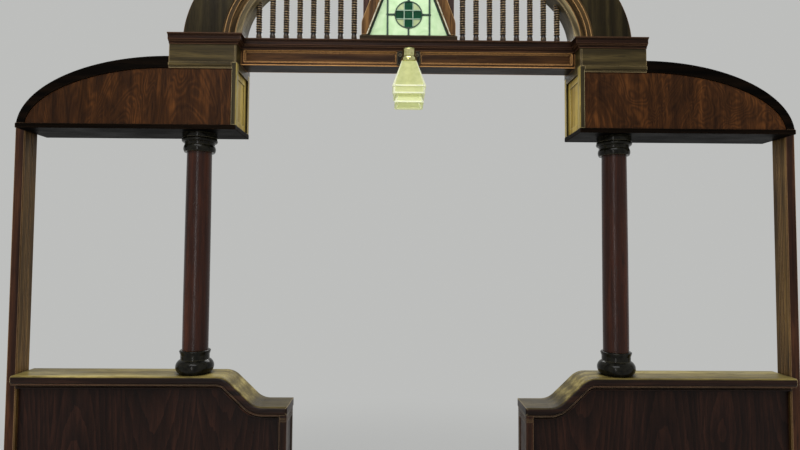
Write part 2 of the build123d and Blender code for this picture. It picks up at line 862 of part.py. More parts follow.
# Stiles that stand on the rakes and run up to the arch
with BuildPart() as light_stiles:
    with BuildSketch(elevation(0)):
        add(screen_arch(-fit))
        Rectangle(2 * stile_outer, 4 * frieze_top, mode=Mode.INTERSECT)
        Rectangle(2 * (stile_outer - stile_width), 4 * frieze_top, mode=Mode.SUBTRACT)
        Rectangle(4 * stile_outer, 2 * (light_foot + rake_width), mode=Mode.SUBTRACT)
        add(between_rakes(0), mode=Mode.SUBTRACT)
    extrude(amount=light_depth / 2 - stile_set, both=True)
save("light_stiles", light_stiles.part)

# Lead cames: the roundel's ring and bars, the lines along the rakes, three uprights and the
# level line that holds the roundel
roundel_inner = roundel_radius - roundel_rim


def roundel_leads():
    """The ring of the roundel and the four bars that part its cells."""
    with BuildSketch() as leads:
        with Locations((0, roundel_height)):
            Circle(roundel_radius)
            Circle(roundel_inner, mode=Mode.SUBTRACT)
            with GridLocations(roundel_pitch, 1, 2, 1):
                Rectangle(roundel_lead, 2 * roundel_inner)
            with GridLocations(1, roundel_pitch, 1, 2):
                Rectangle(2 * roundel_inner, roundel_lead)
    return leads.sketch


def light_leads():
    """Every came of the light, laid out flat."""
    with BuildSketch() as leads:
        add(between_rakes(rake_width))
        add(between_rakes(rake_width + edge_came), mode=Mode.SUBTRACT)
        with Locations((0, light_foot)):
            with GridLocations(came_offset, 1, 3, 1):
                Rectangle(came_width, arch_rise, align=(Align.CENTER, Align.MIN))
        with Locations((0, roundel_height)):
            Rectangle(2 * came_offset, came_width)
            Circle(roundel_radius, mode=Mode.SUBTRACT)
        add(roundel_leads())
        add(between_rakes(rake_width), mode=Mode.INTERSECT)
    return leads.sketch


with BuildPart() as light_cames:
    with BuildSketch(elevation(0)):
        add(light_leads())
    extrude(amount=came_thick / 2, both=True)
save("light_cames", light_cames.part)

# Glass panes between the cames, cut round the roundel
with BuildPart() as light_glass:
    with BuildSketch(elevation(0)):
        add(between_rakes(rake_width))
        add(light_leads(), mode=Mode.SUBTRACT)
        with Locations((0, roundel_height)):
            Circle(roundel_radius, mode=Mode.SUBTRACT)
    extrude(amount=glass_thick / 2, both=True)
save("light_glass", light_glass.part)


# Roundel glass: four quarters, and a cross of five squares between them
cross_width = roundel_pitch + roundel_lead
with BuildPart() as light_quarters:
    with BuildSketch(elevation(0)):
        with Locations((0, roundel_height)):
            Circle(roundel_inner)
            Rectangle(cross_width, 2 * roundel_radius, mode=Mode.SUBTRACT)
            Rectangle(2 * roundel_radius, cross_width, mode=Mode.SUBTRACT)
    extrude(amount=glass_thick / 2, both=True)
save("light_quarters", light_quarters.part)

with BuildPart() as light_roundel:
    with BuildSketch(elevation(0)):
        with Locations((0, roundel_height)):
            Rectangle(cross_width, 2 * roundel_inner)
            Rectangle(2 * roundel_inner, cross_width)
            Circle(roundel_inner, mode=Mode.INTERSECT)
        add(roundel_leads(), mode=Mode.SUBTRACT)
    extrude(amount=glass_thick / 2, both=True)
save("light_roundel", light_roundel.part)

# Lamp bracket: a bevelled back plate on the beam with two bosses, and a short arm
plate_face = -half_beam - lamp_plate_thick
plate_foot = beam_bottom + lamp_plate_rise
plate_centre = plate_foot + lamp_plate_height / 2
boss_height = plate_foot + lamp_boss_rise
arm_height = gallery_top + lamp_arm_rise
with BuildPart() as lamp_bracket:
    with BuildSketch(elevation(-half_beam)):
        with Locations((0, plate_centre)):
            RectangleRounded(2 * lamp_plate_half, lamp_plate_height, lamp_plate_corner)
    extrude(amount=lamp_plate_thick)
    chamfer(lamp_bracket.faces().sort_by(Axis.Y)[0].edges(), length=lamp_plate_bevel)
    with BuildSketch(elevation(plate_face)):
        with Locations((-lamp_boss_half, boss_height), (lamp_boss_half, boss_height)):
            Circle(lamp_boss_radius)
    extrude(amount=lamp_boss_out)
    with BuildSketch(elevation(plate_face)):
        with Locations((0, arm_height)):
            Circle(lamp_arm_radius)
    extrude(amount=plate_face - (lamp_y + dome_radius + fit))
save("lamp_bracket", lamp_bracket.part)

# Brass gallery: a swelled ring over the shade's neck, and a cap above it with a small knob
crown_foot = gallery_top + dome_foot
with BuildPart() as lamp_gallery:
    with BuildSketch(Plane.YZ):
        with BuildLine():
            Line((lamp_y, shade_top), (lamp_y + dome_radius, shade_top))
            ThreePointArc(
                (lamp_y + dome_radius, shade_top),
                (lamp_y + gallery_radius, shade_top + gallery_swell),
                (lamp_y + dome_radius, gallery_top),
            )
            Line((lamp_y + dome_radius, gallery_top), (lamp_y + dome_radius, crown_foot))
            crown = EllipticalCenterArc(
                (lamp_y, crown_foot), dome_radius, dome_rise, start_angle=0, arc_size=90
            )
            Line(crown @ 1, (lamp_y, shade_top))
        make_face()
    revolve(axis=Axis((0, lamp_y, 0), (0, 0, 1)))
    with Locations((0, lamp_y, crown_foot + dome_rise)):
        Sphere(radius=knob_radius)
save("lamp_gallery", lamp_gallery.part)

# Stepped square glass shade with cut corners, open below. The hollow is set up by the wall's
# thickness, so that the ledge under the band is as thick as the sides.
# Columns: depth below the neck, width across the flats, cut at each corner
shade_steps = (
    (0, 46, 2),
    (82, 101, 7),
    (85, 101, 7),
    (86, 96, 6),
    (106, 96, 6),
    (109, 70, 4),
    (130, 88, 5),
    (133, 88, 5),
)
shade_depth, shade_mouth, mouth_cut = shade_steps[-1]


def shade_section(width, cut, inset):
    """A square with cut corners, made smaller all round by an inset."""
    inner = width - 2 * inset
    with BuildSketch() as section:
        Rectangle(inner, inner)
        chamfer(section.vertices(), length=cut * inner / width)
    return section.sketch


with BuildPart() as lamp_shade:
    for inset, mode in ((0, Mode.ADD), (shade_wall, Mode.SUBTRACT)):
        for depth, width, cut in shade_steps:
            with BuildSketch(Plane((0, lamp_y, shade_top - depth + inset))):
                add(shade_section(width, cut, inset))
        loft(ruled=True, mode=mode)
    with BuildSketch(Plane((0, lamp_y, shade_top - shade_depth))):
        add(shade_section(shade_mouth, mouth_cut, shade_wall))
    extrude(amount=shade_wall, mode=Mode.SUBTRACT)
save("lamp_shade", lamp_shade.part)

# Lampholder and bulb inside the shade
with BuildPart() as lamp_bulb:
    with BuildSketch(Plane.YZ):
        with BuildLine():
            holder_low = shade_top - holder_height
            bulb_centre = (lamp_y, holder_low - bulb_length + bulb_radius)
            globe = CenterArc(bulb_centre, bulb_radius, 50, -140)
            Polyline(
                (lamp_y, shade_top),
                (lamp_y + holder_radius, shade_top),
                (lamp_y + holder_radius, holder_low),
                (lamp_y + bulb_neck_radius, holder_low),
                globe @ 0,
            )
            Line(globe @ 1, (lamp_y, shade_top))
        make_face()
    revolve(axis=Axis((0, lamp_y, 0), (0, 0, 1)))
save("lamp_bulb", lamp_bulb.part)
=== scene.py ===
import math
import random

import bpy
from mathutils import Matrix, Vector


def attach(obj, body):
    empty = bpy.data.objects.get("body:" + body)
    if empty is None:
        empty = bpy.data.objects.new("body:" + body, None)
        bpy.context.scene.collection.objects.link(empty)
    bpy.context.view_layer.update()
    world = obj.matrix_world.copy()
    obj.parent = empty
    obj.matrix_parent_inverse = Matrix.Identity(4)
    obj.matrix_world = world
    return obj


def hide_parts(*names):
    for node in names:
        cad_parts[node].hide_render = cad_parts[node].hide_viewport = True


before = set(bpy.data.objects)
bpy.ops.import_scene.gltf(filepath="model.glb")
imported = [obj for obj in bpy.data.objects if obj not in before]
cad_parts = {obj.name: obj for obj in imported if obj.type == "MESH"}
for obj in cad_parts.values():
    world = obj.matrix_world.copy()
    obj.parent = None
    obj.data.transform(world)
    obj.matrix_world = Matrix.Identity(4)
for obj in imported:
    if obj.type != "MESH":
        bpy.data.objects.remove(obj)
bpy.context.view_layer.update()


# Framing of the two low partitions: sill, mid rail and muntin of mahogany, halved and
# tenoned together, French polished and then darkened by a century of cleaning.
mahogany_deep = (0.010, 0.0042, 0.0030)
mahogany_warm = (0.062, 0.020, 0.0090)
# Colour of arrises where the polish is thin, and partly painted highlights.
mahogany_rubbed_and_lit = (0.26, 0.10, 0.036)


def start_finish(name):
    """A new finish and its surface shader."""
    finish = bpy.data.materials.new(name)
    finish.use_nodes = True
    return finish, finish.node_tree.nodes["Principled BSDF"]


def node(finish, kind, inputs, **settings):
    """One more node in a finish. An input is a value or another node's output."""
    made = finish.node_tree.nodes.new("ShaderNode" + kind)
    for setting, value in settings.items():
        setattr(made, setting, value)
    feed(finish, made, inputs)
    return made


def feed(finish, made, inputs):
    """Sets or links the inputs of a node."""
    for socket, value in inputs.items():
        if isinstance(value, bpy.types.NodeSocket):
            finish.node_tree.links.new(value, made.inputs[socket])
        elif made.inputs[socket].type == "RGBA":
            made.inputs[socket].default_value = (*value, 1.0)
        else:
            made.inputs[socket].default_value = value


def mixed(finish, share, first, second, how="MIX"):
    """The second colour laid over the first by this share."""
    inputs = {0: share, 6: first, 7: second}
    return node(finish, "Mix", inputs, data_type="RGBA", blend_type=how).outputs[2]


def blended(finish, share, first, second):
    """The second number laid over the first by this share."""
    return node(finish, "Mix", {0: share, 2: first, 3: second}).outputs[0]


def stepped(finish, factor, *stops):
    """A colour or a number for each value of the factor, from its stops in rising order."""
    made = node(finish, "ValToRGB", {"Fac": factor})
    steps = made.color_ramp.elements
    while len(steps) < len(stops):
        steps.new(1.0)
    for step, (place, colour) in zip(steps, stops):
        step.position = place
        step.color = (*colour, 1.0) if isinstance(colour, tuple) else (colour, colour, colour, 1.0)
    return made.outputs["Color"]


def clamped(finish, operation, first, second):
    """Two numbers put together by this operation, and kept between 0 and 1."""
    return node(finish, "Math", {0: first, 1: second}, operation=operation, use_clamp=True).outputs[0]


def maths(finish, operation, first, second=0.0):
    """Two numbers put together by this operation, as large as they come."""
    return node(finish, "Math", {0: first, 1: second}, operation=operation).outputs[0]


def carried(finish, value, low, high, start=0.0, end=1.0, **settings):
    """The value carried from the range low to high into the range start to end."""
    inputs = {"Value": value, "From Min": low, "From Max": high, "To Min": start, "To Max": end}
    return node(finish, "MapRange", inputs, **settings).outputs[0]


def parts(finish, vector):
    """The X, Y and Z of a place or a direction."""
    return node(finish, "SeparateXYZ", {0: vector}).outputs


def joined(finish, x, y, z=0.0):
    """A place from its X, Y and Z."""
    return node(finish, "CombineXYZ", {0: x, 1: y, 2: z}).outputs[0]


def facing(finish):
    """The way that the surface looks."""
    return node(finish, "NewGeometry", {}).outputs["Normal"]


def upright(finish):
    """A place as across, depth and along the grain, in wood that stands."""
    return node(finish, "TexCoord", {}).outputs["Object"]


def level(finish):
    """A place as across, depth and along the grain, in wood that lies across the coach."""
    split = parts(finish, upright(finish))
    return joined(finish, split["Z"], split["Y"], split["X"])


def stretched(finish, place, length):
    """A place with its length along the grain drawn in, so that a figure runs with it."""
    return node(finish, "VectorMath", {0: place, 1: (1.0, 1.0, length)}, operation="MULTIPLY").outputs[0]


def noise(finish, place, length, scale, **more):
    """Clouds of this fineness, drawn out along the grain where length is under 1."""
    inputs = {"Vector": stretched(finish, place, length), "Scale": scale}
    inputs.update({socket.capitalize(): value for socket, value in more.items()})
    return node(finish, "TexNoise", inputs).outputs["Fac"]


def bumped(finish, height, strength, distance, over=None, **settings):
    """The surface's direction where this height stands up, on top of another one if there is one."""
    inputs = {"Height": height, "Strength": strength, "Distance": distance}
    if over:
        inputs["Normal"] = over
    return node(finish, "Bump", inputs, **settings).outputs[0]


def clear_of(finish, distance):
    """1 in the open and less in a hollow of about this depth."""
    return node(finish, "AmbientOcclusion", {"Distance": distance}, samples=4).outputs["AO"]


def worn_and_lit_arris(finish, width):
    """1 along an outer edge, where polish is thin and a highlight painted, and 0 on a flat or in a hollow.
    """
    rounded = node(finish, "Bevel", {"Radius": 2.0 * width}, samples=6).outputs[0]
    same = {0: rounded, 1: facing(finish)}
    same = node(finish, "VectorMath", same, operation="DOT_PRODUCT").outputs["Value"]
    edge = stepped(finish, same, (0.90, 1.0), (0.985, 0.0))
    open_side = stepped(finish, clear_of(finish, 2.5 * width), (0.62, 0.0), (0.82, 1.0))
    return clamped(finish, "MULTIPLY", edge, open_side)


def ribbon(finish, place):
    """Straight stripes of wood that was sawn on the quarter."""
    wave = {
        "Vector": stretched(finish, place, 0.12),
        "Scale": 8.0,
        "Distortion": 7.0,
        "Detail": 3.0,
        "Detail Scale": 1.2,
        "Detail Roughness": 0.6,
    }
    return node(finish, "TexWave", wave, bands_direction="X").outputs["Fac"]


def polished_wood(
    name,
    way,
    deep=mahogany_deep,
    warm=mahogany_warm,
    figure=ribbon,
    strength=0.5,
    edge_rubbed_and_lit=mahogany_rubbed_and_lit,
    rub_and_lit_width=0.0014,
    rub_and_lit_share=0.75,
    gloss=(0.26, 0.44),
    shine=0.13,
    worn_and_lit_side=None,
    worn_and_lit_above=None,
):
    """Old polished wood with fibres, figure, pores, dirt and painted shade in hollows, lighter arrises
    that are partly painted highlights, and painted shade on undersides.

    Way is how the grain runs, and figure draws the wood's pattern. Worn_and_lit_side is an axis, how
    far a face must turn to it, and the deep and warm colours of faces that look along that axis, lighter
    from lost stain and from painted light. Worn_and_lit_above is the heights between which that lighter
    colour grows from a little to full."""
    finish, shader = start_finish(name)
    place = way(finish)
    faces = parts(finish, facing(finish))
    streak = noise(finish, place, 0.045, 48.0, detail=6.0, roughness=0.62, distortion=0.35)
    fibres = stepped(finish, streak, (0.34, 0.0), (0.66, 1.0))
    drawn = blended(finish, strength, fibres, figure(finish, place))

    def shaded(low, high):
        middle = tuple(math.sqrt(a * b) for a, b in zip(low, high))
        return stepped(finish, drawn, (0.12, low), (0.5, middle), (0.88, high))

    colour = shaded(deep, warm)
    cloud = noise(finish, place, 0.5, 5.0, detail=3.0)
    # Faces that look along one axis get a lighter colour: stain lost to wear, and partly painted light.
    if worn_and_lit_side:
        axis, turned, low, high = worn_and_lit_side
        toward = maths(finish, "ABSOLUTE", faces[axis]) if axis == "X" else faces[axis]
        worn_and_lit = stepped(finish, toward, (turned, 0.0), (turned + 0.35, 1.0))
        worn_and_lit = clamped(finish, "MULTIPLY", worn_and_lit, stepped(finish, cloud, (0.25, 0.72), (0.5, 1.0)))
        if worn_and_lit_above:
            height = parts(finish, upright(finish))["Z"]
            lift = carried(finish, height, *worn_and_lit_above, start=0.3, interpolation_type="SMOOTHSTEP")
            worn_and_lit = clamped(finish, "MULTIPLY", worn_and_lit, lift)
        colour = mixed(finish, worn_and_lit, colour, shaded(low, high))
    uneven = stepped(finish, cloud, (0.32, 0.62), (0.68, 1.0))
    colour = mixed(finish, 1.0, colour, uneven, "MULTIPLY")
    pores = noise(finish, place, 0.035, 620.0, detail=2.0)
    open_pores = stepped(finish, pores, (0.36, 1.0), (0.47, 0.0))
    pore_black = tuple(0.4 * c for c in deep)
    colour = mixed(finish, clamped(finish, "MULTIPLY", open_pores, 0.6), colour, pore_black)
    # Dirt and painted shade: darker in hollows, by how open each point is.
    grime_and_shade = stepped(finish, clear_of(finish, 0.014), (0.35, 0.18), (0.8, 1.0))
    colour = mixed(finish, 1.0, colour, grime_and_shade, "MULTIPLY")
    # Painted shade: faces that look down are darkened.
    underside_shade = stepped(finish, maths(finish, "MULTIPLY", faces["Z"], -1.0), (0.6, 1.0), (0.95, 0.35))
    colour = mixed(finish, 1.0, colour, underside_shade, "MULTIPLY")
    # Lighter colour along open outer edges: polish lost there, and partly painted highlights.
    rub_and_lit = clamped(finish, "MULTIPLY", worn_and_lit_arris(finish, rub_and_lit_width), rub_and_lit_share)
    rub_and_lit = clamped(finish, "MULTIPLY", rub_and_lit, stepped(finish, streak, (0.3, 0.55), (0.6, 1.0)))
    smear = noise(finish, place, 0.4, 14.0, detail=4.0)
    dull = carried(finish, smear, 0.3, 0.7, *gloss)
    dull = clamped(finish, "ADD", dull, clamped(finish, "MULTIPLY", open_pores, 0.12))
    wavy = noise(finish, place, 0.3, 26.0, detail=1.0)
    rounded = node(finish, "Bevel", {"Radius": 0.0011}, samples=4).outputs[0]
    ripple = bumped(finish, wavy, 0.25, 0.0010, over=rounded)
    surface = {
        "Base Color": mixed(finish, rub_and_lit, colour, edge_rubbed_and_lit),
        "Roughness": dull,
        "Normal": bumped(finish, open_pores, 0.25, 0.0003, over=ripple, invert=True),
        "IOR": 1.5,
        "Specular IOR Level": shine,
    }
    feed(finish, shader, surface)
    return finish


def dress(finish, *names):
    """Gives carried-over pieces of the frame this finish. A name ends in _* for its left and right."""
    for name in names:
        pair = (name.replace("*", "left"), name.replace("*", "right"))
        for piece in pair if "*" in name else (name,):
            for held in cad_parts[piece].material_slots:
                held.material = finish


mahogany_level = polished_wood("mahogany_level", level)
mahogany_upright = polished_wood("mahogany_upright", upright)
dress(mahogany_level, "floor_sill_*", "mid_rail_*")
dress(mahogany_upright, "muntin_*")


# Boards of the partitions: two raised and fielded panels below the rail, and above it upright
# boards glued edge to edge and cut to the ogee, all of them picked for a broad arched figure.
board_width = 0.226
board_start = 0.476
heart_behind = 0.075  # from the boards' middle to the heart of the tree
heart_aside = 0.05  # how far the heart can lie to one side of a board
heart_slant = 0.10  # how much it leans toward the board along each arch of the figure
figure_arch = 0.9  # length of such an arch
trunk_length = 7.0  # stretch of trunk from which the boards were cut
ring_draw = 0.12  # how much the rings are drawn out along the board


def arched_rings(finish, place):
    """The tree's rings cut at a slant into tall arches, with a new board every board_width."""
    split = parts(finish, place)
    boards = maths(finish, "DIVIDE", maths(finish, "SUBTRACT", split["X"], board_start), board_width)
    number = maths(finish, "FLOOR", boards)
    luck = node(finish, "TexWhiteNoise", {"W": number}, noise_dimensions="1D").outputs["Value"]
    middle = maths(finish, "SUBTRACT", maths(finish, "SUBTRACT", boards, number), 0.5)
    across = maths(finish, "MULTIPLY", middle, board_width)
    across = maths(finish, "ADD", across, maths(finish, "MULTIPLY", luck, heart_aside))
    height = maths(finish, "ADD", split["Z"], maths(finish, "MULTIPLY", luck, trunk_length))
    slant = maths(finish, "MULTIPLY", maths(finish, "PINGPONG", height, figure_arch), heart_slant)
    behind = maths(finish, "ADD", maths(finish, "ADD", split["Y"], heart_behind), slant)
    wave = {
        "Vector": joined(finish, across, behind, maths(finish, "MULTIPLY", height, ring_draw)),
        "Scale": 26.0,
        "Distortion": 5.0,
        "Detail": 3.0,
        "Detail Scale": 0.8,
        "Detail Roughness": 0.55,
    }
    rings = node(finish, "TexWave", wave, wave_type="RINGS", rings_direction="Z", wave_profile="SAW")
    tone = carried(finish, luck, 0.0, 1.0, -0.16, 0.16)
    return clamped(finish, "ADD", maths(finish, "MULTIPLY", rings.outputs["Fac"], 0.85), tone)


panel_board = polished_wood("panel_mahogany", upright, figure=arched_rings, strength=0.65)
frieze_board = polished_wood(
    "frieze_mahogany",
    upright,
    deep=(0.0085, 0.0038, 0.0028),
    warm=(0.036, 0.0135, 0.0080),
    figure=arched_rings,
)
dress(panel_board, "lower_panels_*")
dress(frieze_board, "frieze_board_*")


# Posts of the partitions: a grooved post on each side wall and a beaded board at the aisle, their
# edges rubbed bright by passing coats and partly painted highlights. The wall posts' faces that look
# across the coach are painted lighter, as painted light.
post_mahogany = polished_wood(
    "post_mahogany",
    upright,
    deep=(0.018, 0.0068, 0.0040),
    warm=(0.090, 0.034, 0.0145),
    strength=0.35,
    edge_rubbed_and_lit=(0.40, 0.24, 0.11),
    rub_and_lit_width=0.0018,
    rub_and_lit_share=0.9,
    worn_and_lit_side=("X", 0.4, (0.050, 0.027, 0.0080), (0.205, 0.118, 0.034)),
)
end_board = polished_wood(
    "end_board_mahogany",
    upright,
    deep=(0.011, 0.0048, 0.0030),
    warm=(0.050, 0.020, 0.0105),
    edge_rubbed_and_lit=(0.22, 0.14, 0.070),
    rub_and_lit_width=0.0016,
    rub_and_lit_share=0.8,
)
dress(post_mahogany, "wall_post_*")
dress(end_board, "end_post_*")


# Capping of the partitions: one thick rail steamed and shaped to the ogee, its top and its slope
# worn golden by hands and elbows and partly painted sheen, with a moulded bed of mahogany under its edge.
capping_low_end = 1.092  # height of the level end, where the wear is least
capping_slope = 1.130  # height on the slope from which it is full
capping = polished_wood(
    "capping_mahogany",
    level,
    deep=(0.0080, 0.0036, 0.0025),
    warm=(0.036, 0.0145, 0.0080),
    strength=0.4,
    edge_rubbed_and_lit=(0.50, 0.38, 0.20),
    rub_and_lit_width=0.0016,
    rub_and_lit_share=0.85,
    gloss=(0.28, 0.46),
    shine=0.14,
    worn_and_lit_side=("Z", 0.42, (0.150, 0.112, 0.0300), (0.56, 0.450, 0.150)),
    worn_and_lit_above=(capping_low_end, capping_slope),
)
bed_mould = polished_wood(
    "bed_mould_mahogany", level, edge_rubbed_and_lit=(0.27, 0.19, 0.11), rub_and_lit_width=0.0012, rub_and_lit_share=0.85
)
dress(capping, "capping_*")
dress(bed_mould, "bed_mould_*")


# Turned columns that carry the headers: mahogany shafts with a little swell, between bases
# and capitals turned from harder wood and polished black.
shaft_mahogany = polished_wood(
    "shaft_mahogany",
    upright,
    deep=(0.020, 0.0056, 0.0030),
    warm=(0.066, 0.0175, 0.0070),
    strength=0.25,
    gloss=(0.20, 0.30),
    shine=0.22,
)
black_polish, shader = start_finish("black_polish")
brush = noise(black_polish, upright(black_polish), 1.0, 70.0, detail=4.0)
black = stepped(black_polish, brush, (0.35, (0.0030, 0.0028, 0.0020)), (0.7, (0.0120, 0.0110, 0.0070)))
# Pale colour on the arrises: polish thin there, and partly painted highlights.
thin = clamped(black_polish, "MULTIPLY", worn_and_lit_arris(black_polish, 0.0014), 0.45)
surface = {
    "Base Color": mixed(black_polish, thin, black, (0.16, 0.14, 0.08)),
    "Roughness": stepped(black_polish, brush, (0.3, 0.10), (0.75, 0.24)),
    "Specular IOR Level": 0.14,
    "Normal": bumped(black_polish, brush, 0.2, 0.0006),
}
feed(black_polish, shader, surface)
dress(shaft_mahogany, "column_shaft_*")
dress(black_polish, "column_base_*", "column_cap_*")


# Box headers on the columns: figured veneer in a rim bent to a quarter ellipse, on a soffit
# board, closed at the aisle by a panel of golden oak between two beaded corner posts.
def crotch_flame(finish, place):
    """Veneer cut where a trunk forks: fine rings that curl through soft clouds and stripes of tone."""
    land = noise(finish, place, 0.42, 6.0, detail=2.0, roughness=0.45, distortion=1.6)
    folds = maths(finish, "PINGPONG", maths(finish, "MULTIPLY", land, 22.0), 0.5)
    rings = maths(finish, "MULTIPLY", folds, 2.0)
    cloud = noise(finish, place, 0.38, 11.0, detail=4.0, roughness=0.6, distortion=0.8)
    clouds = stepped(finish, cloud, (0.36, 0.0), (0.66, 1.0))
    stripe = noise(finish, place, 0.05, 30.0, detail=2.0, distortion=0.4)
    stripes = stepped(finish, stripe, (0.34, 0.0), (0.66, 1.0))
    return blended(finish, 0.30, blended(finish, 0.36, clouds, stripes), rings)


veneer = polished_wood(
    "veneer",
    upright,
    deep=(0.018, 0.0068, 0.0024),
    warm=(0.160, 0.056, 0.0135),
    figure=crotch_flame,
    strength=0.72,
    gloss=(0.28, 0.46),
    shine=0.08,
)
rim_mahogany = polished_wood(
    "rim_mahogany",
    level,
    deep=(0.0016, 0.0011, 0.0007),
    warm=(0.0070, 0.0038, 0.0020),
    edge_rubbed_and_lit=(0.17, 0.10, 0.055),
    gloss=(0.38, 0.55),
    shine=0.02,
)
golden_oak = polished_wood(
    "golden_oak",
    upright,
    deep=(0.36, 0.235, 0.040),
    warm=(0.80, 0.585, 0.12),
    strength=0.3,
    edge_rubbed_and_lit=(0.88, 0.76, 0.42),
    shine=0.08,
)
# Painted light: the header posts' faces that look across the coach are painted golden and lighter.
post_oak = polished_wood(
    "post_oak",
    upright,
    deep=(0.022, 0.017, 0.0080),
    warm=(0.080, 0.060, 0.024),
    strength=0.3,
    edge_rubbed_and_lit=(0.50, 0.41, 0.20),
    rub_and_lit_share=0.9,
    worn_and_lit_side=("X", 0.35, (0.32, 0.225, 0.055), (0.72, 0.56, 0.17)),
)
dress(veneer, "header_front_*", "header_back_*")
dress(rim_mahogany, "header_rim_*", "header_soffit_*")
dress(golden_oak, "header_end_*")
dress(post_oak, "header_posts_*")


# Piers and the beam between them: mahogany boxes planted with beads and long sunk panels, under a
# cornice whose corners were rubbed through to bare wood. The bright edge colours here are partly painted
# highlights, and the piers' olive cast is partly a painted reflection of green light.
pier_wood = polished_wood(
    "pier_mahogany",
    level,
    deep=(0.030, 0.0210, 0.0075),
    warm=(0.120, 0.086, 0.030),
    edge_rubbed_and_lit=(0.48, 0.36, 0.18),
    rub_and_lit_width=0.0018,
)
beam_wood = polished_wood(
    "beam_mahogany",
    level,
    deep=(0.024, 0.0098, 0.0036),
    warm=(0.110, 0.048, 0.0150),
    edge_rubbed_and_lit=(0.96, 0.50, 0.175),
    rub_and_lit_width=0.0030,
    rub_and_lit_share=0.95,
    shine=0.08,
)
cornice_wood = polished_wood(
    "cornice_mahogany",
    level,
    deep=(0.0085, 0.0036, 0.0022),
    warm=(0.036, 0.0135, 0.0065),
    edge_rubbed_and_lit=(0.20, 0.10, 0.05),
    rub_and_lit_width=0.0016,
    shine=0.09,
)
dress(pier_wood, "pier_*")
dress(beam_wood, "cross_beam")
dress(cornice_wood, "cornice_front", "cornice_back")


# Arch over the beam: a bent lining with a moulding planted round it on each face, let into
# a spandrel board that closes the roof above the piers.
bend_middle = 2.03  # height of the point that the grain runs round
bend_radius = 0.5  # distance from it at which the grain is drawn at its real length


def far_out(finish, place):
    """How far a place lies from the middle."""
    return node(finish, "VectorMath", {0: place}, operation="LENGTH").outputs["Value"]


def bent(finish):
    """A place as across, depth and along the grain, in wood that is bent to the arch."""
    split = parts(finish, upright(finish))
    raised = maths(finish, "SUBTRACT", split["Z"], bend_middle)
    angle = maths(finish, "ARCTAN2", split["X"], raised)
    out = far_out(finish, joined(finish, split["X"], raised))
    return joined(finish, out, split["Y"], maths(finish, "MULTIPLY", angle, bend_radius))


# The pale colour along the moulding's arrises is partly painted highlight.
arch_wood = polished_wood(
    "arch_mahogany",
    bent,
    deep=(0.024, 0.014, 0.0055),
    warm=(0.125, 0.072, 0.024),
    edge_rubbed_and_lit=(0.72, 0.41, 0.16),
    rub_and_lit_width=0.0026,
    rub_and_lit_share=0.95,
    shine=0.09,
)
# Painted reflection: the lining is a lighter copy of the arch's mahogany, for window light mirrored in its
# polish.
lit_lining_wood = polished_wood(
    "lining_mahogany",
    bent,
    deep=(0.060, 0.044, 0.020),
    warm=(0.33, 0.26, 0.13),
    edge_rubbed_and_lit=(0.72, 0.55, 0.30),
    rub_and_lit_width=0.0020,
)
# The spandrel's olive cast is partly a painted reflection of green light.
spandrel_wood = polished_wood(
    "spandrel_mahogany",
    upright,
    deep=(0.013, 0.0092, 0.0036),
    warm=(0.053, 0.039, 0.0145),
    strength=0.4,
    shine=0.08,
)
dress(arch_wood, "arch_mould_front", "arch_mould_back")
dress(lit_lining_wood, "arch_lining")
dress(spandrel_wood, "spandrel")


# Bobbin spindles in the arch: sixteen sticks turned to a row of close beads above a swell
# and a block, pegged into the beam and scribed to the underside of the arch.
spindle_foot = 2.237
spindle_first = 0.486
spindle_pitch = 0.04415
spindle_count = 8
spindle_sides = 20
block_height, block_radius, block_chamfer = 0.011, 0.0100, 0.0006
shoulder_height, shoulder_depth = 0.0010, 0.0008
cove_height, neck_height, neck_radius = 0.0012, 0.0030, 0.0066
swell_height, swell_radius, swell_bulge = 0.024, 0.0070, 0.0024
swell_steps = 6
bead_pitch = 0.0080
bead_radius = 0.0100
bead_unlike = 0.08  # share by which a bead's height strays
bead_short = 0.0003  # most that a bead stays under its radius
bead_steps = 7
quirk_radius = 0.0056
scribed_in = 0.0008  # how far a spindle's top is let into the lining
arch_half, arch_rise, arch_haunch = 0.534, 0.312, 0.210
arch_crown = (arch_half**2 + arch_rise**2 - 2 * arch_half * arch_haunch) / (2 * (arch_rise - arch_haunch))


def under_arch(x):
    """Height of the arch's underside at this distance from its middle."""
    x = abs(x)
    lean = math.atan2(arch_half - arch_haunch, arch_crown - arch_rise)
    if x < arch_crown * math.sin(lean):
        return spindle_foot + arch_rise - arch_crown + math.sqrt(arch_crown**2 - x**2)
    return spindle_foot + math.sqrt(arch_haunch**2 - (x - arch_half + arch_haunch) ** 2)


def turned_mesh(name, sticks, sides):
    """Mesh of turned sticks. Each has its middle and a list of heights and radii from foot to top."""
    corners, faces, rises = [], [], []
    for (x, y), outline in sticks:
        first = len(corners)
        for height, radius in outline:
            for side in range(sides):
                angle = 2 * math.pi * side / sides
                corners.append((x + radius * math.cos(angle), y + radius * math.sin(angle), height))
                rises.append((radius - quirk_radius) / (bead_radius - quirk_radius))
        for ring in range(len(outline) - 1):
            for side in range(sides):
                near = first + ring * sides + side
                far = first + ring * sides + (side + 1) % sides
                faces.append((near, far, far + sides, near + sides))
        faces.append([first + side for side in reversed(range(sides))])
        faces.append([first + (len(outline) - 1) * sides + side for side in range(sides)])
    mesh = bpy.data.meshes.new(name)
    mesh.from_pydata(corners, [], faces)
    mesh.attributes.new("rise", "FLOAT", "POINT").data.foreach_set("value", rises)
    mesh.shade_smooth()
    return mesh


